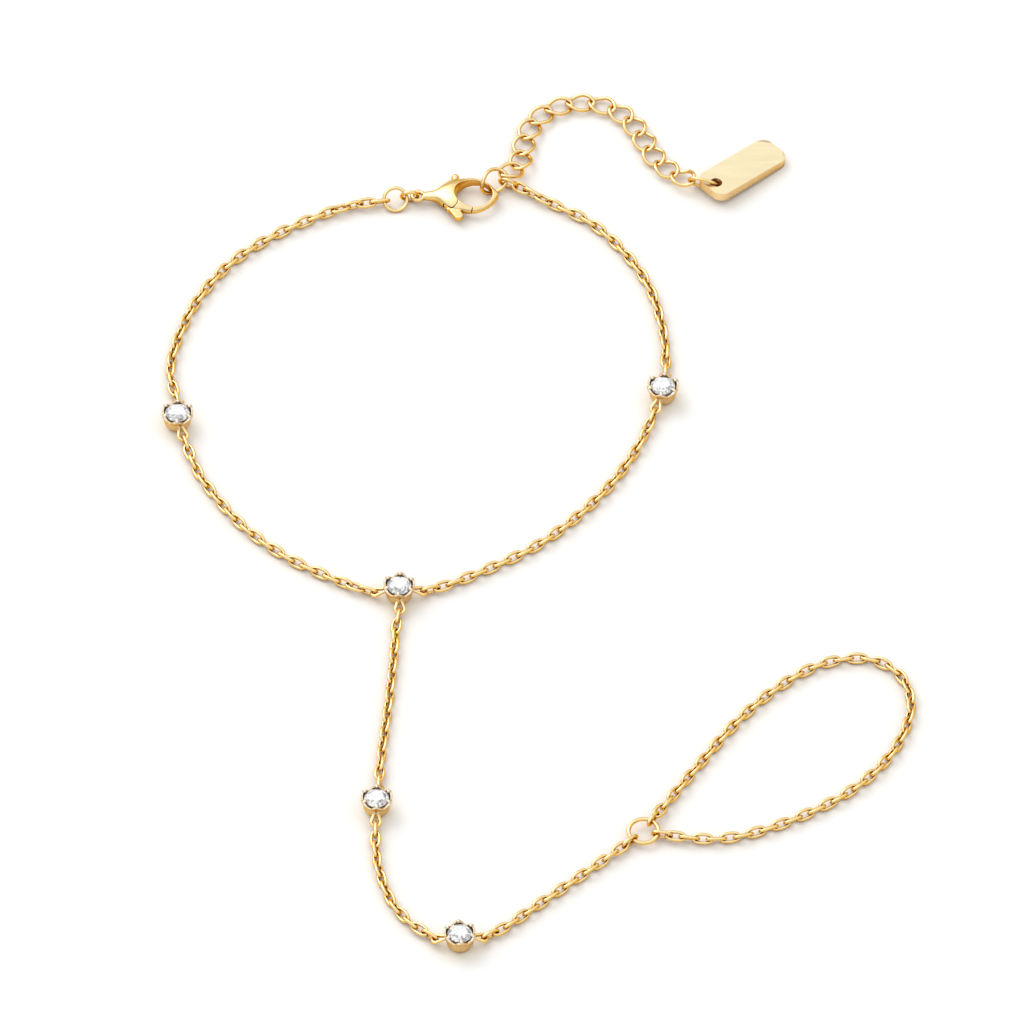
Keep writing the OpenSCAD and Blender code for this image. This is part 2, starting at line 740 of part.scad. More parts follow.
// The extender: its first link is rolled more steeply, because the clasp's head stands in it
module extender_chain() {
  start = [clasp_x + opening_at.x, clasp_y + opening_at.y, hook_z] + hook_at_r * heading(hook_at_turn);
  finish = flat(start) + [0, 0, hook_end_z] + (hook_len - curb_wire) * heading(hook_turn);
  hook = (curb_wire + curb_gap) / 2;
  tag_end = wire_at(ring_hold(tag_link_at, tag_link_len, tag_link_wire, 0), 180)[0];
  inner = [for (p = curb_route) [p.x, p.y, curb_z + p.z]];
  points = concat(
    [finish - hook * unit(finish - start)], inner, [tag_end + hook * heading(tag_link_at[SPIN])]
  );
  n = ceil(route_length(points) / curb_pitch);
  j = joints(points, n);
  color(gold)
    laid() {
      at_link(start, finish, 0)
        curb_link(norm(finish - start) + curb_wire, hook_width, curb_wire, hook_roll, hook_end_roll);
      for (i = [0:n - 1])
        at_link(j[i], j[i + 1], 0)
          curb_link(curb_len, curb_width, curb_wire, -curb_twist, curb_twist);
    }
}

// Puts a piece where it lies, so that the whole is centred on the row axes
module laid() {
  translate([-centre.x, -centre.y, 0])
    children();
}

module end_ring() {
  color(gold)
    laid()
      jump_ring(end_ring_at, end_ring_d, ring_wire);
}

module eye_ring() {
  color(gold)
    laid()
      jump_ring(eye_ring_at, eye_ring_d, ring_wire);
}

module extender_ring() {
  color(gold)
    laid()
      jump_ring(extender_ring_at, extender_ring_d, ring_wire);
}

module finger_ring() {
  color(gold)
    laid()
      jump_ring(finger_ring_at, finger_ring_d, finger_ring_wire);
}

module wrist_chain_1() {
  color(gold)
    laid()
      cable_chain(ring_hold(end_ring_at, end_ring_d, ring_wire, 0), wrist_route_1, loop_hold(0, 0));
}

module wrist_chain_2() {
  color(gold)
    laid()
      cable_chain(loop_hold(0, 1), wrist_route_2, loop_hold(2, 0));
}

module wrist_chain_3() {
  color(gold)
    laid()
      cable_chain(loop_hold(2, 1), wrist_route_3, loop_hold(1, 1));
}

module wrist_chain_4() {
  color(gold)
    laid()
      cable_chain(
        loop_hold(1, 0), wrist_route_4,
        ring_hold(extender_ring_at, extender_ring_d, ring_wire, extender_swing)
      );
}

module hand_chain_1() {
  color(gold)
    laid()
      cable_chain(loop_hold(2, 2), hand_route_1, loop_hold(3, 0));
}

module hand_chain_2() {
  color(gold)
    laid()
      cable_chain(loop_hold(3, 1), hand_route_2, loop_hold(4, 0));
}

module hand_chain_3() {
  color(gold)
    laid()
      cable_chain(loop_hold(4, 1), hand_route_3, finger_hold(0));
}

module finger_chain() {
  color(gold)
    laid()
      cable_chain(finger_hold(0), finger_route, finger_hold(finger_swing));
}

module setting_1() {
  color(gold)
    laid()
      setting(0);
}

module setting_2() {
  color(gold)
    laid()
      setting(1);
}

module setting_3() {
  color(gold)
    laid()
      setting(2);
}

module setting_4() {
  color(gold)
    laid()
      setting(3);
}

module setting_5() {
  color(gold)
    laid()
      setting(4);
}

module stone_1() {
  color(clear)
    laid()
      stone(0);
}

module stone_2() {
  color(clear)
    laid()
      stone(1);
}

module stone_3() {
  color(clear)
    laid()
      stone(2);
}

module stone_4() {
  color(clear)
    laid()
      stone(3);
}

module stone_5() {
  color(clear)
    laid()
      stone(4);
}

clasp_body();
clasp_lever();
end_ring();
eye_ring();
extender_ring();
extender_chain();
tag_link();
tag();
wrist_chain_1();
wrist_chain_2();
wrist_chain_3();
wrist_chain_4();
hand_chain_1();
hand_chain_2();
hand_chain_3();
finger_ring();
finger_chain();
setting_1();
setting_2();
setting_3();
setting_4();
setting_5();
stone_1();
stone_2();
stone_3();
stone_4();
stone_5();
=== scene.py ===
import math

import bmesh
import bpy
import numpy as np
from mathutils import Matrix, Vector


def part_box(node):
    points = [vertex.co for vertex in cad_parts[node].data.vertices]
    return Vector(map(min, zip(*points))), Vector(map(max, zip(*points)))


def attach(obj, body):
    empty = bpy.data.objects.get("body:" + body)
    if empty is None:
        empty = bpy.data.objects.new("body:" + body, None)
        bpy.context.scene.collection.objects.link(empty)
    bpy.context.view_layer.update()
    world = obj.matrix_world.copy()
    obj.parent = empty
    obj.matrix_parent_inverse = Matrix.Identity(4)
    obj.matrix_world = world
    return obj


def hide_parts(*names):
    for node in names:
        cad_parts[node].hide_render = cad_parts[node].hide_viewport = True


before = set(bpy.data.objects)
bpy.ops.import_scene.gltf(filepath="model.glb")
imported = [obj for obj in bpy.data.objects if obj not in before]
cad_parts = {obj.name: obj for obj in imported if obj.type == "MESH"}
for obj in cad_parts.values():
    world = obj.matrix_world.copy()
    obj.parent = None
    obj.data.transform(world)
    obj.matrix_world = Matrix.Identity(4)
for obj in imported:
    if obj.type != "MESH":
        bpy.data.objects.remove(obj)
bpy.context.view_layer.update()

MM = 0.001
# Bodies that the pieces ride on
ROOT = "bracelet"
LEVER = "clasp_lever"
# Vertices of a solid that lie closer than this are one, which closes its seams
SEAM = 1e-7

# View: the camera looks along +Y and down, through a long lens, at a point on the surface
VIEW_ELEVATION = 46.5
VIEW_WIDTH = 98.95 * MM
VIEW_DISTANCE = 4.0
VIEW_TARGET = Vector((-2.5, 1.6, 0)) * MM
# The sensor's width in mm, and the nearest and farthest that the camera sees, in metres
SENSOR = 36
CLIP = (0.01, 20)

# A cable link as it looks: a little slimmer than its solid, which keeps room for physics
LINK_WIRE = 0.32 * MM
LINK_WIDTH = 1.14 * MM
LINK_STEPS = 36
LINK_SIDES = 12
# Shape of an oval link: 2 is an ellipse, more is squarer
OVAL_POWER = 2.4
# Steps round a ring and round the tag's link, and sides of their wire
RING_STEPS = 64
TAG_LINK_STEPS = 56
RING_SIDES = 16
# A curb link as it looks: thicker than its solid, wider and, save the first, less twisted
CURB_WIRE = 0.37 * MM
CURB_WIDER = 1.05
CURB_FLAT = 0.5
CURB_SIDES = 14
# Rings of points along a curb link's solid, and steps along its rebuilt wire
CURB_RINGS = 16
CURB_STEPS = 64

# A setting's loops, by distance from its axis: where they are rooted, leave the wall and are widest,
# and past which only their tips reach
LOOP_ROOT = 1.2 * MM
LOOP_FROM = 1.56 * MM
LOOP_WIDEST = 2.35 * MM
LOOP_TIP = 2.6 * MM
# Height that the loops stay below
LOOP_TOP = 1.36 * MM
# How far each side of a loop is drawn in at the wall
LOOP_DRAWN = 0.3 * MM
# Half of the angle that a loop may take up, and the gap that parts the tips of two loops
LOOP_HALF_ANGLE = math.radians(40)
LOOP_APART = math.radians(25)
# Heights at which the prongs begin to lean out and at which they become claws, and how far they lean
CLAW_ROOT = 1.4 * MM
CLAW_FROM = 1.8 * MM
CLAW_SPREAD = 0.11 * MM
# Prongs stand further from the axis than this
PRONG_FROM = 0.7 * MM
# Half the width of the change of tone where a loop or a claw begins
LOOP_BLEND = 0.08 * MM
CLAW_BLEND = 0.06 * MM

# Castings: size of the skin's cells and passes of smoothing, for the clasp's body, its lever and a setting
BODY_SKIN = (0.045 * MM, 6)
LEVER_SKIN = (0.04 * MM, 4)
SETTING_SKIN = (0.035 * MM, 3)
# Rounding of the tag's edges, which are the edges sharper than the angle
TAG_BEVEL = 0.06 * MM
TAG_EDGE_ANGLE = math.radians(30)

# Tones of each gold: pale on its lit side, deep away from it, and shaded where surfaces are close
CHAIN_TONES = ((1.0, 0.86, 0.48), (1.0, 0.54, 0.03), (0.32, 0.1, 0.004))
RING_TONES = ((1.0, 0.85, 0.48), (0.97, 0.53, 0.045), (0.36, 0.12, 0.004))
CLASP_TONES = ((1.0, 0.83, 0.46), (0.94, 0.54, 0.09), (0.4, 0.15, 0.01))
TAG_TONES = ((1.0, 0.91, 0.64), (0.92, 0.66, 0.34), (0.35, 0.14, 0.02))
BASKET_TONES = ((0.98, 0.82, 0.56), (0.8, 0.58, 0.3), (0.62, 0.5, 0.36))
CLAW_PALE, CLAW_DEEP = (1.0, 0.96, 0.88), (0.75, 0.55, 0.28)
EDGE_TINT = (1.0, 0.76, 0.4)
MOTTLE_TINT = (0.93, 0.9, 0.84)
# Direction that counts as lit, and the cosines of the angle to it at which gold is all deep and all pale
LIT_SIDE = Vector((-0.12, -0.4, 0.85)).normalized()
PALE_FROM, PALE_TO = 0.45, 0.97
# How far away metal still shades the gold: between wires, and in the clasp's opening
WIRE_REACH = 0.9 * MM
CLASP_REACH = 2.4 * MM
# Open share of the surface up to which it is all shade, from which it is all clear, and rays to find it
SHADED, CLEAR = 0.2, 0.75
OPEN_RAYS = 8
# Grain per metre along each axis: even, or drawn out along X for the tag
EVEN_GRAIN = (900, 900, 900)
TAG_GRAIN = (250, 1500, 900)
# How strong and how deep the grain is, and how much finer than the mottle
GRAIN_STRENGTH = 0.08
GRAIN_DEPTH = 0.01 * MM
GRAIN_FINER = 2.5
# Share of the roughness at two values of the mottle
ROUGH_SHARES = ((0.3, 0.75), (0.7, 1.25))

# Stone: its palest and its darkest facet, greys that are painted reflections
STONE_PALE_REFLECTION, STONE_DARK_REFLECTION = (1.0, 1.0, 1.0), (0.28, 0.29, 0.32)
# Glints: their tones and where each begins, how many to a metre, and how strongly they show
GLINT_TONES = [(0.0, (0.3, 0.31, 0.34)), (0.25, (0.62, 0.64, 0.67)), (0.45, (1, 1, 1))]
GLINT_SCALE = 4600
GLINT_STRENGTH = 0.85
# The table faces up at least this squarely. Its painted reflection has a tone of its own and it glints
# less than the others, and each other facet draws the tone of its painted reflection.
TABLE_LEVEL = 0.97
TABLE_REFLECTION, TABLE_GLINT = 1.0, 0.35
FACET_REFLECTIONS, FACET_GLINT = [0.45, 0.75, 1.0, 1.0], 1.0

# Floor: half its side, the two tones of its mottle and its grain per metre
FLOOR_HALF = 3.0
FLOOR_TONES = ((0.955, 0.955, 0.95), (0.965, 0.965, 0.963))
FLOOR_GRAIN = (40, 40, 40)
# Its painted warm shadow near the metal, how far that reaches, and the open share at which it is all
# shadow and all clear
FLOOR_PAINTED_SHADOW = (0.97, 0.94, 0.85)
FLOOR_SHADOW_REACH = 2.5 * MM
FLOOR_SHADED, FLOOR_CLEAR = 0.45, 0.98
# Tent: brightness by the sine of the height above the horizon
TENT = [(0.0, (0.45, 0.45, 0.45)), (0.3, (0.55, 0.55, 0.55)), (0.55, (1, 1, 1))]
TENT_STRENGTH = 1.0
# Soft box: its place, side, power and colour
BOX_AT = (-0.8, 0.9, 1.1)
BOX_SIDE = 1.2
BOX_POWER = 9.5
BOX_COLOUR = (1, 0.99, 0.97)
# A Mix node's two colours and its result, by number, because its other sockets have the same names
MIX_A, MIX_B, MIX_RESULT = 6, 7, 2


# Materials
def new_material(name):
    material = bpy.data.materials.new(name)
    material.use_nodes = True
    tree = material.node_tree
    shader = tree.nodes["Principled BSDF"]
    return material, tree, shader


def own_place(tree):
    """Where a point is from the object's own origin, in metres."""
    return tree.nodes.new("ShaderNodeTexCoord").outputs["Object"]


def coordinates(tree, scale):
    """The object's own coordinates, so a pattern keeps its real size."""
    mapping = tree.nodes.new("ShaderNodeMapping")
    mapping.inputs["Scale"].default_value = scale
    tree.links.new(own_place(tree), mapping.inputs["Vector"])
    return mapping.outputs["Vector"]


def ramp(tree, value, stops):
    """A colour by a value, from stops of a place and a colour."""
    node = tree.nodes.new("ShaderNodeValToRGB")
    elements = node.color_ramp.elements
    while len(elements) < len(stops):
        elements.new(0.5)
    for element, (at, colour) in zip(elements, stops):
        element.position = at
        element.color = (*colour, 1)
    tree.links.new(value, node.inputs["Fac"])
    return node.outputs["Color"]


def black_to_white(tree, value, low, high):
    return ramp(tree, value, [(low, (0, 0, 0)), (high, (1, 1, 1))])


def noise(tree, vector, scale, detail):
    node = tree.nodes.new("ShaderNodeTexNoise")
    node.inputs["Scale"].default_value = scale
    node.inputs["Detail"].default_value = detail
    tree.links.new(vector, node.inputs["Vector"])
    return node.outputs["Fac"]


def mix_colour(tree, factor, a, b, blend="MIX"):
    """From a at factor 0 to b at factor 1, or to a times b. The factor and both colours may be sockets."""
    node = tree.nodes.new("ShaderNodeMix")
    node.data_type = "RGBA"
    node.blend_type = blend
    colours = [(*value, 1) if isinstance(value, tuple) else value for value in (a, b)]
    sockets = node.inputs["Factor"], node.inputs[MIX_A], node.inputs[MIX_B]
    for socket, value in zip(sockets, (factor, *colours)):
        if isinstance(value, bpy.types.NodeSocket):
            tree.links.new(value, socket)
        else:
            socket.default_value = value
    return node.outputs[MIX_RESULT]


def multiplied(tree, a, b, factor):
    return mix_colour(tree, factor, a, b, "MULTIPLY")


def step_at(tree, value, at, half_width):
    """0 below a value and 1 above it, with a smooth step of twice the half width between them."""
    node = tree.nodes.new("ShaderNodeMapRange")
    node.interpolation_type = "SMOOTHSTEP"
    node.inputs["From Min"].default_value = at - half_width
    node.inputs["From Max"].default_value = at + half_width
    tree.links.new(value, node.inputs["Value"])
    return node.outputs["Result"]


def attribute(tree, name):
    """A number that the mesh holds for each face."""
    node = tree.nodes.new("ShaderNodeAttribute")
    node.attribute_name = name
    return node.outputs["Fac"]


def open_share(tree, reach):
    """How open the surface is: 0 deep between wires, 1 in the clear."""
    node = tree.nodes.new("ShaderNodeAmbientOcclusion")
    node.inputs["Distance"].default_value = reach
    node.samples = OPEN_RAYS
    return node.outputs["AO"]


def facing_lit_side(tree):
    """Cosine of the angle between the surface's outward direction and the lit side's."""
    geometry = tree.nodes.new("ShaderNodeNewGeometry")
    facing = tree.nodes.new("ShaderNodeVectorMath")
    facing.operation = "DOT_PRODUCT"
    facing.inputs[1].default_value = LIT_SIDE
    tree.links.new(geometry.outputs["Normal"], facing.inputs[0])
    return facing.outputs["Value"]


def gold_shares(tree, reach):
    """The share of the pale tone against the deep one, and the share of both against the shade."""
    pale = black_to_white(tree, facing_lit_side(tree), PALE_FROM, PALE_TO)
    return pale, black_to_white(tree, open_share(tree, reach), SHADED, CLEAR)


def gold(name, tones, roughness, grain=EVEN_GRAIN, reach=WIRE_REACH):
    """Gold plate: pale on its lit side, deeper away from it, brown where it shades itself."""
    pale, deep, shade = tones
    material, tree, shader = new_material(name)
    vector = coordinates(tree, grain)
    mottle = noise(tree, vector, scale=1.0, detail=3)
    facing, clear = gold_shares(tree, reach)
    tone = mix_colour(tree, facing, deep, pale)
    mottled = multiplied(tree, tone, mix_colour(tree, mottle, MOTTLE_TINT, (1, 1, 1)), 1.0)
    tree.links.new(mix_colour(tree, clear, shade, mottled), shader.inputs["Base Color"])
    shader.inputs["Metallic"].default_value = 1
    shader.inputs["Specular Tint"].default_value = (*EDGE_TINT, 1)
    rough = ramp(tree, mottle, [(at, (roughness * share,) * 3) for at, share in ROUGH_SHARES])
    tree.links.new(rough, shader.inputs["Roughness"])
    bump = tree.nodes.new("ShaderNodeBump")
    bump.inputs["Strength"].default_value = GRAIN_STRENGTH
    bump.inputs["Distance"].default_value = GRAIN_DEPTH
    tree.links.new(noise(tree, vector, scale=GRAIN_FINER, detail=2), bump.inputs["Height"])
    tree.links.new(bump.outputs["Normal"], shader.inputs["Normal"])
    return material


def setting_gold():
    """Basket in tan gold, loops like the chain, claws near white on their lit side and tan away from it,
    all with painted light, and painted shade on basket and loops where surfaces are close. The axis is the
    object's own Z.
    """
    material = gold("setting gold", BASKET_TONES, roughness=0.3)
    tree = material.node_tree
    shader = tree.nodes["Principled BSDF"]
    basket = shader.inputs["Base Color"].links[0].from_socket
    split = tree.nodes.new("ShaderNodeSeparateXYZ")
    tree.links.new(own_place(tree), split.inputs["Vector"])
    flat = tree.nodes.new("ShaderNodeCombineXYZ")
    tree.links.new(split.outputs["X"], flat.inputs["X"])
    tree.links.new(split.outputs["Y"], flat.inputs["Y"])
    radius = tree.nodes.new("ShaderNodeVectorMath")
    radius.operation = "LENGTH"
    tree.links.new(flat.outputs["Vector"], radius.inputs[0])
    loops = step_at(tree, radius.outputs["Value"], LOOP_FROM, LOOP_BLEND)
    claws = step_at(tree, split.outputs["Z"], CLAW_FROM, CLAW_BLEND)
    facing, clear = gold_shares(tree, WIRE_REACH)
    pale, deep, shade = CHAIN_TONES
    # Painted light and shade on the loops, and painted light on the claws
    loop_tone = mix_colour(tree, clear, shade, mix_colour(tree, facing, deep, pale))
    claw_tone = mix_colour(tree, facing, CLAW_DEEP, CLAW_PALE)
    colour = mix_colour(tree, claws, mix_colour(tree, loops, basket, loop_tone), claw_tone)
    tree.links.new(colour, shader.inputs["Base Color"])
    return material


def stone_material():
    """A cut stone: the mesh holds each facet's grey, a painted reflection, and small light and dark cells
    are painted glints.
    """
    material, tree, shader = new_material("clear stone")
    sparks = tree.nodes.new("ShaderNodeTexVoronoi")
    sparks.inputs["Scale"].default_value = GLINT_SCALE
    tree.links.new(coordinates(tree, (1, 1, 1)), sparks.inputs["Vector"])
    split = tree.nodes.new("ShaderNodeSeparateColor")
    tree.links.new(sparks.outputs["Color"], split.inputs["Color"])
    glints = ramp(tree, split.outputs["Red"], GLINT_TONES)
    glints.node.color_ramp.interpolation = "CONSTANT"
    # Painted reflections: each facet's grey, broken up by painted glints
    facet = mix_colour(tree, attribute(tree, "facet_reflection"), STONE_DARK_REFLECTION, STONE_PALE_REFLECTION)
    broken = multiplied(tree, facet, glints, GLINT_STRENGTH)
    colour = mix_colour(tree, attribute(tree, "facet_glint"), facet, broken)
    tree.links.new(colour, shader.inputs["Base Color"])
    shader.inputs["Roughness"].default_value = 0.05
    shader.inputs["IOR"].default_value = 2.1
    shader.inputs["Coat Weight"].default_value = 0.5
    shader.inputs["Coat Roughness"].default_value = 0.03
    return material


def floor_material():
    """Pale paper, with a painted warm shadow close to the metal."""
    material, tree, shader = new_material("pale floor")
    mottle = noise(tree, coordinates(tree, FLOOR_GRAIN), scale=1.0, detail=2)
    tone = mix_colour(tree, mottle, *FLOOR_TONES)
    # Painted shadow: the floor turns warmer and darker where metal is close
    clear = black_to_white(tree, open_share(tree, FLOOR_SHADOW_REACH), FLOOR_SHADED, FLOOR_CLEAR)
    tree.links.new(mix_colour(tree, clear, FLOOR_PAINTED_SHADOW, tone), shader.inputs["Base Color"])
    shader.inputs["Roughness"].default_value = 0.85
    shader.inputs["Specular IOR Level"].default_value = 0.1
    return material


CHAIN_GOLD = gold("chain gold", CHAIN_TONES, roughness=0.2)
RING_GOLD = gold("ring gold", RING_TONES, roughness=0.17)
CLASP_GOLD = gold("clasp gold", CLASP_TONES, roughness=0.27, reach=CLASP_REACH)
TAG_GOLD = gold("tag gold", TAG_TONES, roughness=0.3, grain=TAG_GRAIN)
SETTING_GOLD = setting_gold()
STONE = stone_material()


# Meshes
def closed_mesh(node):
    """The mesh of a CAD node, its seams closed, as a new bmesh."""
    mesh = bmesh.new()
    mesh.from_mesh(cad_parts[node].data)
    bmesh.ops.remove_doubles(mesh, verts=mesh.verts, dist=SEAM)
    return mesh


def islands(node):
    """The loose solids of a CAD node: a list of (vertices, faces)."""
    mesh = closed_mesh(node)
    seen, found = set(), []
    for first in mesh.verts:
        if first in seen:
            continue
        group, queue = [], [first]
        seen.add(first)
        while queue:
            vert = queue.pop()
            group.append(vert)
            for edge in vert.link_edges:
                other = edge.other_vert(vert)
                if other not in seen:
                    seen.add(other)
                    queue.append(other)
        index = {vert: k for k, vert in enumerate(group)}
        faces = {face for vert in group for face in vert.link_faces}
        found.append((
            np.array([vert.co for vert in group]),
            sorted([index[v] for v in face.verts] for face in faces),
        ))
    mesh.free()
    return found


def axes_of(points):
    """Centre, axes and size of a solid, longest axis first, by the middle of its extent along each."""
    mean = points.mean(0)
    _, _, rows = np.linalg.svd(points - mean, full_matrices=False)
    along = (points - mean) @ rows.T
    centre = mean + (along.max(0) + along.min(0)) / 2 @ rows
    size = along.max(0) - along.min(0)
    if np.linalg.det(rows) < 0:
        rows[2] *= -1
    return centre, rows, size


def turns(steps):
    """Angles of the steps round a full turn."""
    return 2 * math.pi * np.arange(steps) / steps


def tube(path, radius, sides):
    """Vertices and faces of a round wire along a closed path about its middle."""
    n = len(path)
    ahead = np.roll(path, -1, 0) - np.roll(path, 1, 0)
    ahead /= np.linalg.norm(ahead, axis=1)[:, None]
    out = path - path.mean(0)
    out -= (out * ahead).sum(1)[:, None] * ahead
    out /= np.linalg.norm(out, axis=1)[:, None]
    up = np.cross(ahead, out)
    turn = turns(sides)
    ring = out[:, None] * np.cos(turn)[None, :, None] + up[:, None] * np.sin(turn)[None, :, None]
    points = (path[:, None] + radius * ring).reshape(-1, 3)
    faces = []
    for i in range(n):
        here, there = i * sides, (i + 1) % n * sides
        for k in range(sides):
            following = (k + 1) % sides
            faces.append((here + k, there + k, there + following, here + following))
    return points, faces


def oval_path(length, width, steps):
    """Centreline of an oval link in its own plane."""
    turn = turns(steps)
    x, y = np.cos(turn), np.sin(turn)
    size = (np.abs(x) ** OVAL_POWER + np.abs(y) ** OVAL_POWER) ** (-1 / OVAL_POWER)
    return np.stack([length / 2 * x * size, width / 2 * y * size, np.zeros(steps)], 1)


def ride_as(piece, node, body):
    """Puts a finished piece in a CAD node's place."""
    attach(piece, body)
    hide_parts(node)


def new_piece(name, points, faces, material, smooth=True):
    mesh = bpy.data.meshes.new(name)
    mesh.from_pydata([tuple(p) for p in points], [], [tuple(f) for f in faces])
    mesh.validate()
    mesh.update()
    piece = bpy.data.objects.new(name, mesh)
    bpy.context.scene.collection.objects.link(piece)
    mesh.materials.append(material)
    if smooth:
        mesh.polygons.foreach_set("use_smooth", [True] * len(mesh.polygons))
    return piece


def joined(parts):
    """The vertices and faces of several parts as one."""
    points, faces, base = [], [], 0
    for part_points, part_faces in parts:
        points.append(part_points)
        faces += [tuple(base + k for k in face) for face in part_faces]
        base += len(part_points)
    return np.concatenate(points), faces


# Cable chains: each link is rebuilt on its solid's own centre and axes
def cable_link(solid):
    centre, rows, size = axes_of(solid)
    path = oval_path(size[0] - LINK_WIRE, LINK_WIDTH - LINK_WIRE, LINK_STEPS)
    points, faces = tube(path, LINK_WIRE / 2, LINK_SIDES)
    return points @ rows + centre, faces


def cable_chain(node):
    points, faces = joined([cable_link(solid) for solid, _ in islands(node)])
    ride_as(new_piece(node + "_links", points, faces, CHAIN_GOLD), node, ROOT)


# Rings and the tag's link: smooth round wire on the solid's own plane
def wire_on(node, path_of, name):
    """Round wire on the solid's plane, along the path made from its length and width less the wire."""
    centre, rows, (length, width, wire) = axes_of(islands(node)[0][0])
    points, faces = tube(path_of(length - wire, width - wire), wire / 2, RING_SIDES)
    ride_as(new_piece(name, points @ rows + centre, faces, RING_GOLD), node, ROOT)


def round_path(length, width):
    turn = turns(RING_STEPS)
    radius = (length + width) / 4
    return np.stack([radius * np.cos(turn), radius * np.sin(turn), np.zeros(RING_STEPS)], 1)


def tag_link_path(length, width):
    return oval_path(length, width, TAG_LINK_STEPS)


# Extender: a round wire through the middles of each link's rings of points
def curb_link(solid, flat):
    centre, rows, size = axes_of(solid)
    own = (solid - centre) @ rows.T
    step = 2 * math.pi / CURB_RINGS
    angle = (np.arctan2(own[:, 1] / size[1], own[:, 0] / size[0]) + step / 2) % (2 * math.pi)
    rings = own[np.argsort(angle)].reshape(CURB_RINGS, -1, 3).mean(1)
    waves = np.fft.fft(rings, axis=0)
    keep = CURB_RINGS // 2 - 1
    full = np.zeros((CURB_STEPS, 3), complex)
    full[:keep + 1], full[-keep:] = waves[:keep + 1], waves[-keep:]
    path = np.fft.ifft(full, axis=0).real * CURB_STEPS / CURB_RINGS
    path *= (1, CURB_WIDER, flat)
    points, faces = tube(path, CURB_WIRE / 2, CURB_SIDES)
    points = points @ rows + centre
    points[:, 2] += max(0, -points[:, 2].min())
    return points, faces


def extender(node):
    """Links from the clasp to the tag. The first stands round the clasp's wall and keeps its twist."""
    solids = [solid for solid, _ in islands(node)]
    first = min(range(len(solids)), key=lambda k: solids[k][:, 0].min() + solids[k][:, 1].min())
    links = [curb_link(solid, 1.0 if k == first else CURB_FLAT) for k, solid in enumerate(solids)]
    points, faces = joined(links)
    ride_as(new_piece("extender_links", points, faces, RING_GOLD), node, ROOT)


# Pieces that keep their solids' shape, rounded
def solid_copy(node, name, material, angle, origin=(0, 0, 0), shape=None):
    """A copy of the solid with closed seams, smooth but for the edges sharper than the angle."""
    mesh = closed_mesh(node)
    bmesh.ops.translate(mesh, vec=-Vector(origin), verts=mesh.verts)
    if shape:
        places = shape(np.array([vert.co for vert in mesh.verts]))
        for vert, place in zip(mesh.verts, places):
            vert.co = place
    data = bpy.data.meshes.new(name)
    mesh.to_mesh(data)
    mesh.free()
    piece = bpy.data.objects.new(name, data)
    piece.location = origin
    bpy.context.scene.collection.objects.link(piece)
    data.materials.clear()
    data.materials.append(material)
    data.polygons.foreach_set("use_smooth", [True] * len(data.polygons))
    data.set_sharp_from_angle(angle=angle)
    return piece


def tag_plate():
    piece = solid_copy("tag", "tag_plate", TAG_GOLD, TAG_EDGE_ANGLE)
    rounding = piece.modifiers.new("rounding", "BEVEL")
    rounding.width = TAG_BEVEL
    rounding.segments = 2
    rounding.limit_method = "ANGLE"
    rounding.angle_limit = TAG_EDGE_ANGLE
    ride_as(piece, "tag", ROOT)


def casting(node, name, material, body, skin, origin=(0, 0, 0), shape=None):
    """A copy of the solid as a casting: one even skin whose edges are softly rounded."""
    piece = solid_copy(node, name, material, math.pi, origin, shape)
    cells = piece.modifiers.new("skin", "REMESH")
    cells.mode = "VOXEL"
    cells.use_smooth_shade = True
    polish = piece.modifiers.new("polish", "SMOOTH")
    polish.factor = 0.5
    cells.voxel_size, polish.iterations = skin
    ride_as(piece, node, body)


def set_form(points):
    """A setting's points: claws spread outward, and each loop drawn in to a point at the basket."""
    radius = np.hypot(points[:, 0], points[:, 1])
    angle = np.arctan2(points[:, 1], points[:, 0])
    tips = np.sort(angle[radius > LOOP_TIP])
    groups = np.split(tips, np.flatnonzero(np.diff(tips) > LOOP_APART) + 1)
    if len(groups) > 1 and groups[0][0] + 2 * math.pi - groups[-1][-1] < LOOP_APART:
        groups[0] = np.concatenate([groups.pop() - 2 * math.pi, groups[0]])
    for group in groups:
        turn = (angle - (group[0] + group[-1]) / 2 + math.pi) % (2 * math.pi) - math.pi
        side = radius * np.sin(turn)
        loop = (np.abs(turn) < LOOP_HALF_ANGLE) & (radius > LOOP_ROOT) & (points[:, 2] < LOOP_TOP)
        drawn = LOOP_DRAWN * np.clip((LOOP_WIDEST - radius) / (LOOP_WIDEST - LOOP_FROM), 0, 1)
        new_turn = np.arcsin(np.clip((side - np.sign(side) * drawn) / radius, -1, 1))
        angle = np.where(loop, angle + new_turn - turn, angle)
    spread = CLAW_SPREAD * np.clip((points[:, 2] - CLAW_ROOT) / (CLAW_FROM - CLAW_ROOT), 0, 1)
    radius = radius + np.where(radius > PRONG_FROM, spread, 0)
    return np.stack([radius * np.cos(angle), radius * np.sin(angle), points[:, 2]], 1)


def setting(number):
    low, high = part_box(f"stone_{number}")
    axis = ((low[0] + high[0]) / 2, (low[1] + high[1]) / 2, 0)
    node = f"setting_{number}"
    casting(node, node + "_metal", SETTING_GOLD, ROOT, SETTING_SKIN, axis, set_form)


def stone(number):
    """The solid's facets, each with its own grey of painted reflection and its own strength of painted
    glints.
    """
    node = f"stone_{number}"
    points, faces = islands(node)[0]
    piece = new_piece(node + "_cut", points, faces, STONE, smooth=False)
    ride_as(piece, node, ROOT)
    mesh = piece.data
    rng = np.random.default_rng(number)
    table = [polygon.normal.z > TABLE_LEVEL for polygon in mesh.polygons]
    # Painted reflections: the table palest, each other facet a grey drawn at random
    tone = mesh.attributes.new("facet_reflection", "FLOAT", "FACE")
    tone.data.foreach_set("value", [TABLE_REFLECTION if flat else rng.choice(FACET_REFLECTIONS) for flat in table])
    glint = mesh.attributes.new("facet_glint", "FLOAT", "FACE")
    glint.data.foreach_set("value", [TABLE_GLINT if flat else FACET_GLINT for flat in table])


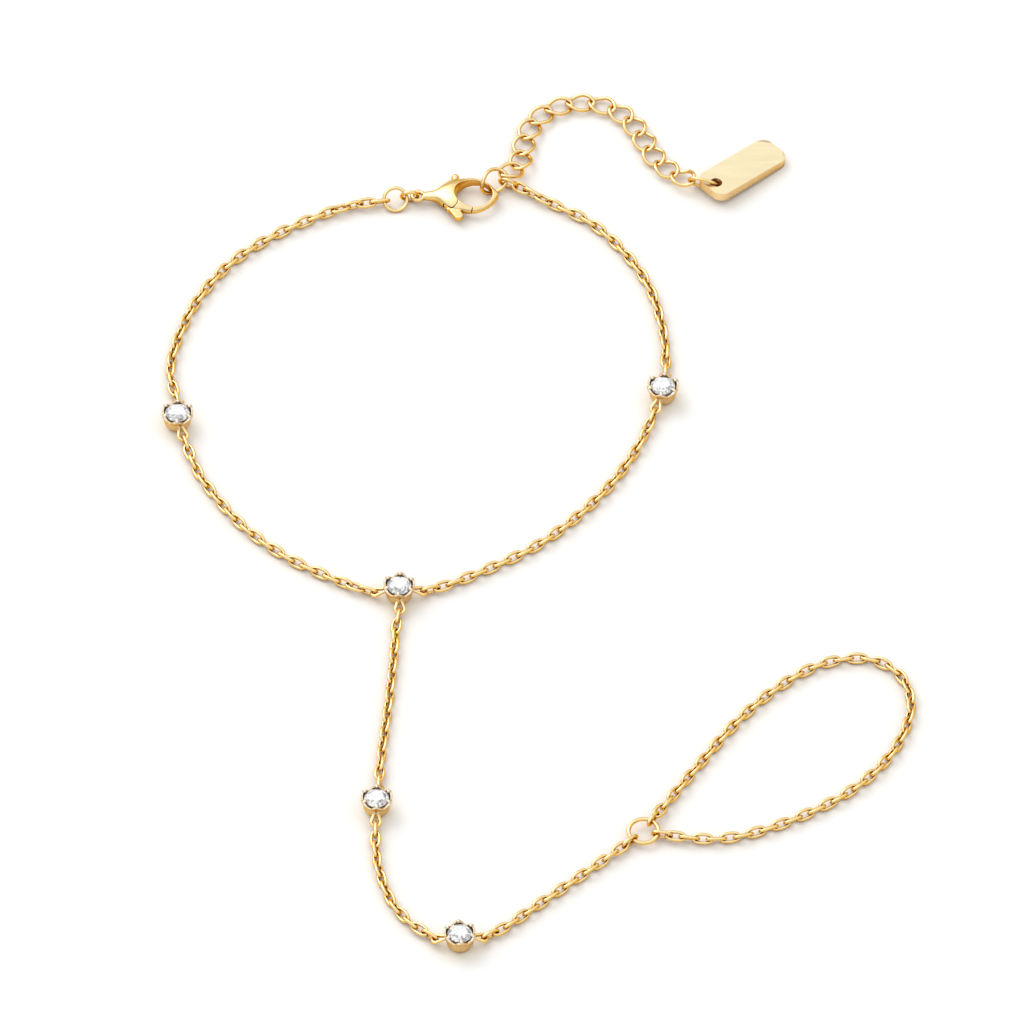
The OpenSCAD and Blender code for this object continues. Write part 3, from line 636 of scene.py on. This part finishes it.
STONES = range(1, 6)
for node in (
    "wrist_chain_1", "wrist_chain_2", "wrist_chain_3", "wrist_chain_4",
    "hand_chain_1", "hand_chain_2", "hand_chain_3", "finger_chain",
):
    cable_chain(node)
for node in ("end_ring", "eye_ring", "extender_ring", "finger_ring"):
    wire_on(node, round_path, node + "_wire")
wire_on("tag_link", tag_link_path, "tag_link_wire")
extender("extender_chain")
casting("clasp_body", "clasp_body_form", CLASP_GOLD, ROOT, BODY_SKIN)
casting("clasp_lever", "clasp_lever_form", CLASP_GOLD, LEVER, LEVER_SKIN)
tag_plate()
for number in STONES:
    setting(number)
for number in STONES:
    stone(number)


# Floor, light and camera
def build_floor():
    mesh = bpy.data.meshes.new("floor")
    corners = [(-1, -1), (1, -1), (1, 1), (-1, 1)]
    mesh.from_pydata([(FLOOR_HALF * x, FLOOR_HALF * y, 0) for x, y in corners], [], [(0, 1, 2, 3)])
    floor = bpy.data.objects.new("floor", mesh)
    mesh.materials.append(floor_material())
    bpy.context.scene.collection.objects.link(floor)


def build_tent():
    """A white tent all round, bright overhead and dimmer at the horizon."""
    world = bpy.data.worlds.new("studio")
    world.use_nodes = True
    tree = world.node_tree
    place = tree.nodes.new("ShaderNodeTexCoord")
    split = tree.nodes.new("ShaderNodeSeparateXYZ")
    tree.links.new(place.outputs["Generated"], split.inputs["Vector"])
    background = tree.nodes["Background"]
    tree.links.new(ramp(tree, split.outputs["Z"], TENT), background.inputs["Color"])
    background.inputs["Strength"].default_value = TENT_STRENGTH
    bpy.context.scene.world = world


def build_soft_box():
    """A wide soft box at the back left."""
    light = bpy.data.lights.new("soft box", "AREA")
    light.shape = "RECTANGLE"
    light.size = light.size_y = BOX_SIDE
    light.energy = BOX_POWER
    light.color = BOX_COLOUR
    lamp = bpy.data.objects.new("soft box", light)
    lamp.location = BOX_AT
    lamp.rotation_euler = (VIEW_TARGET - Vector(BOX_AT)).to_track_quat("-Z", "Y").to_euler()
    lamp.visible_camera = False
    bpy.context.scene.collection.objects.link(lamp)


def build_camera():
    data = bpy.data.cameras.new("camera")
    data.sensor_width = SENSOR
    data.lens = SENSOR * VIEW_DISTANCE / VIEW_WIDTH
    data.clip_start, data.clip_end = CLIP
    camera = bpy.data.objects.new("camera", data)
    tilt = math.radians(VIEW_ELEVATION)
    back = Vector((0, -math.cos(tilt), math.sin(tilt)))
    camera.location = VIEW_TARGET + back * VIEW_DISTANCE
    camera.rotation_euler = (math.pi / 2 - tilt, 0, 0)
    bpy.context.scene.collection.objects.link(camera)
    bpy.context.scene.camera = camera


build_floor()
build_tent()
build_soft_box()
build_camera()
bpy.context.scene.view_settings.view_transform = "Standard"
bpy.context.scene.view_settings.exposure = 0.0
